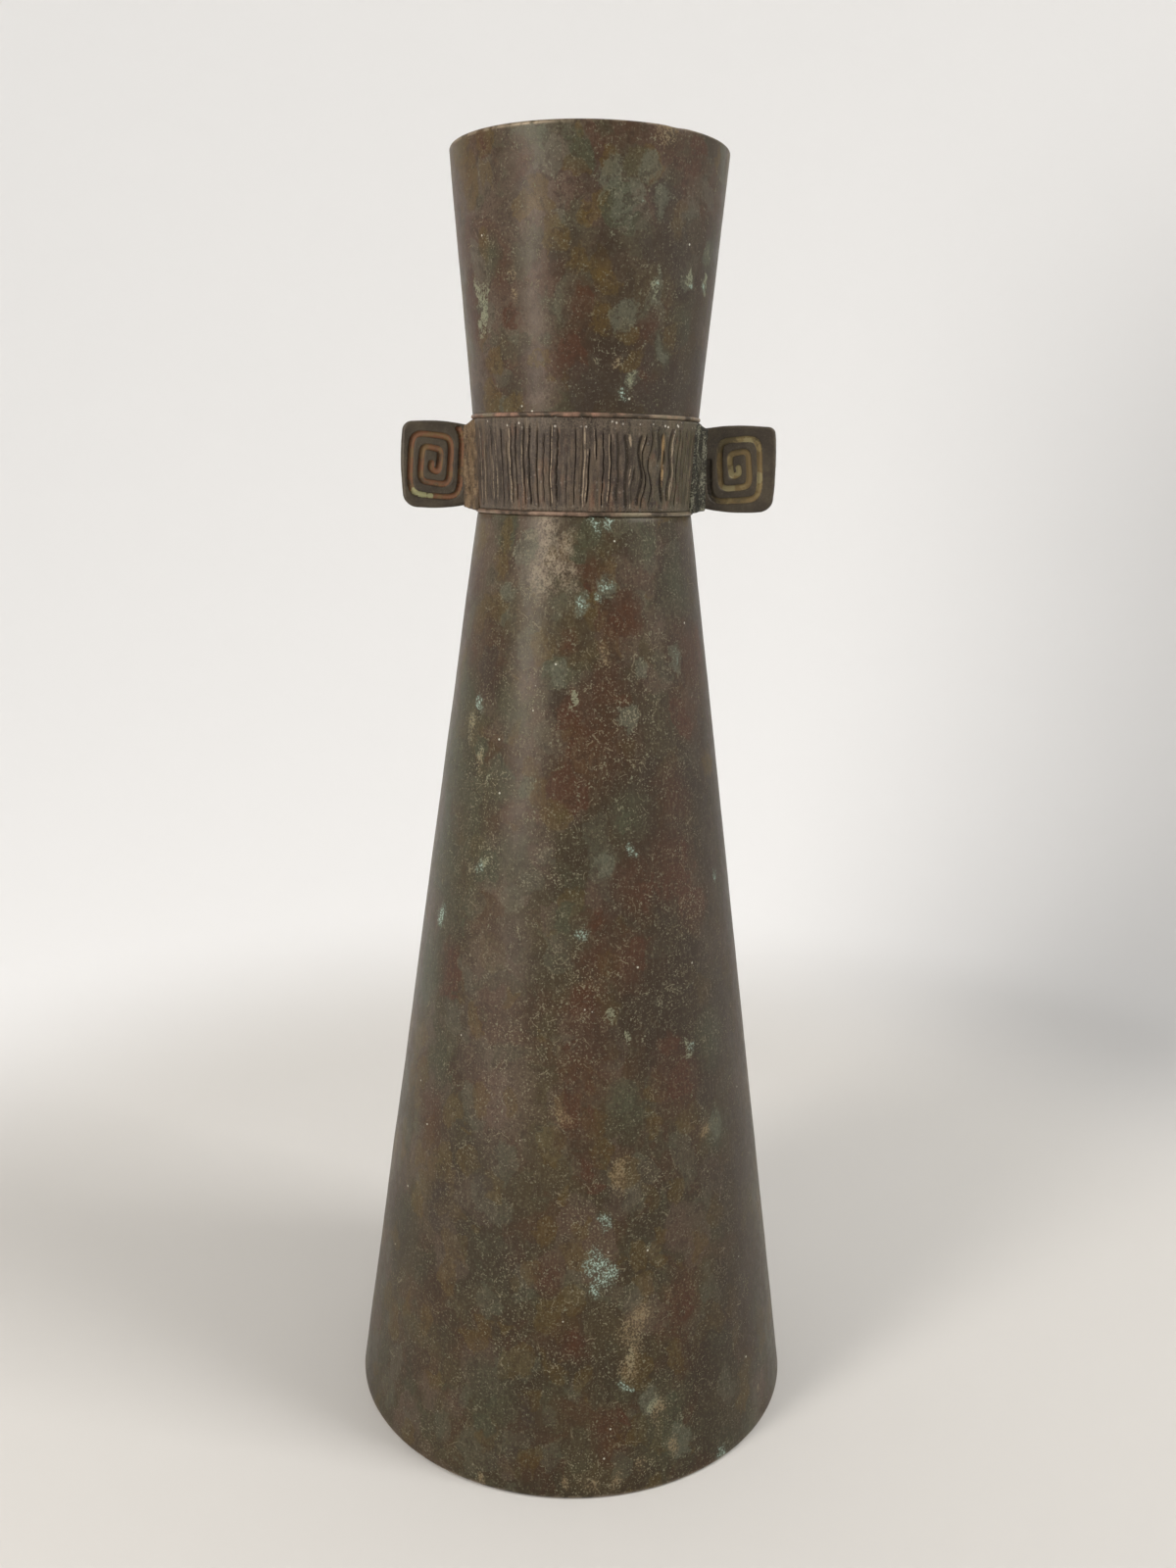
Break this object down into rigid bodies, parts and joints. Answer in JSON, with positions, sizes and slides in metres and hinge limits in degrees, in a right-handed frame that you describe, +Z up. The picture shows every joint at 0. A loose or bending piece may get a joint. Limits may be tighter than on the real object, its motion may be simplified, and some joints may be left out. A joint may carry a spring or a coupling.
{
  "type": "ikebana vase",
  "caption": "Tall conical cast bronze ikebana vase with a flared mouth, a combed collar between thin beads and flat spiral ears, for standing cut flowers in water.",
  "frame": {"origin": "middle of the foot, on the surface that the vase stands on", "axes": "+Z up along the vase's axis, +X through the right ear as seen from the front, front of the vase faces -Y"},
  "size_m": [0.0998, 0.0998, 0.2709],
  "materials": {
    "bronze_patina": "satin olive-brown patina with red-brown blotches and specks of verdigris",
    "combed_bronze": "combed grey-brown patina, dull in the grooves",
    "ear_bronze": "smooth dark patina with coppery grooves",
    "bead_copper": "worn bare copper colour",
    "braze": "rough brown braze with pale residue",
    "solder": "dull grey solder"
  },
  "bodies": {
    "root": {"lower_body": "bronze_patina", "base_plate": "bronze_patina", "base_solder": "solder", "lower_bead": "bead_copper", "collar_band": "combed_bronze", "upper_bead": "bead_copper", "mouth_section": "bronze_patina", "right_ear": "ear_bronze", "right_ear_braze": "braze", "left_ear": "ear_bronze", "left_ear_braze": "braze"}
  },
  "joints": []
}
